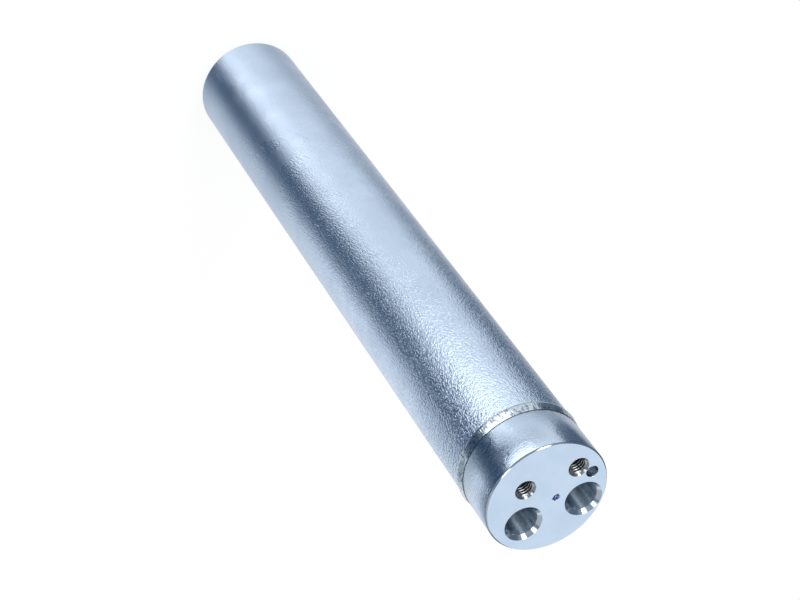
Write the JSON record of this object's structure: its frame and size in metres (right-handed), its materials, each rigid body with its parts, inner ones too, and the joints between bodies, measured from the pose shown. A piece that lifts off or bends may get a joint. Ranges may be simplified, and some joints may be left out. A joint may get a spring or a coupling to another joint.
{
  "type": "filter drier",
  "caption": "Slim aluminium filter drier for vehicle air conditioning: a can closed at one end, with a welded flat head that has ports, tapped screw holes and a locating-pin hole.",
  "frame": {"origin": "on the axis at the closed end, where the can stands", "axes": "+Z along the can's axis, out of the head's flat face; +X from port_b towards port_a; +Y from the screw holes towards the ports"},
  "size_m": [0.041, 0.041, 0.268],
  "materials": {
    "can_aluminium": "satin extruded aluminium, finely scratched",
    "head_aluminium": "fine turned aluminium",
    "weld_aluminium": "rippled weld metal",
    "tube_aluminium": "drawn aluminium tube",
    "strainer_plastic": "natural moulded nylon",
    "screen_mesh": "fine woven wire",
    "plate_steel": "zinc-plated punched sheet",
    "spring_steel": "oiled spring wire",
    "felt": "pressed white felt",
    "desiccant": "packed molecular-sieve beads"
  },
  "bodies": {
    "root": {"can_shell": "can_aluminium", "head_block": "head_aluminium", "weld_bead": "weld_aluminium", "pickup_tube": "tube_aluminium", "strainer_cage": "strainer_plastic", "strainer_screen": "screen_mesh", "upper_plate": "plate_steel", "lower_plate": "plate_steel", "bed_spring": "spring_steel", "upper_felt_pad": "felt", "lower_felt_pad": "felt", "desiccant_bed": "desiccant"}
  },
  "joints": []
}
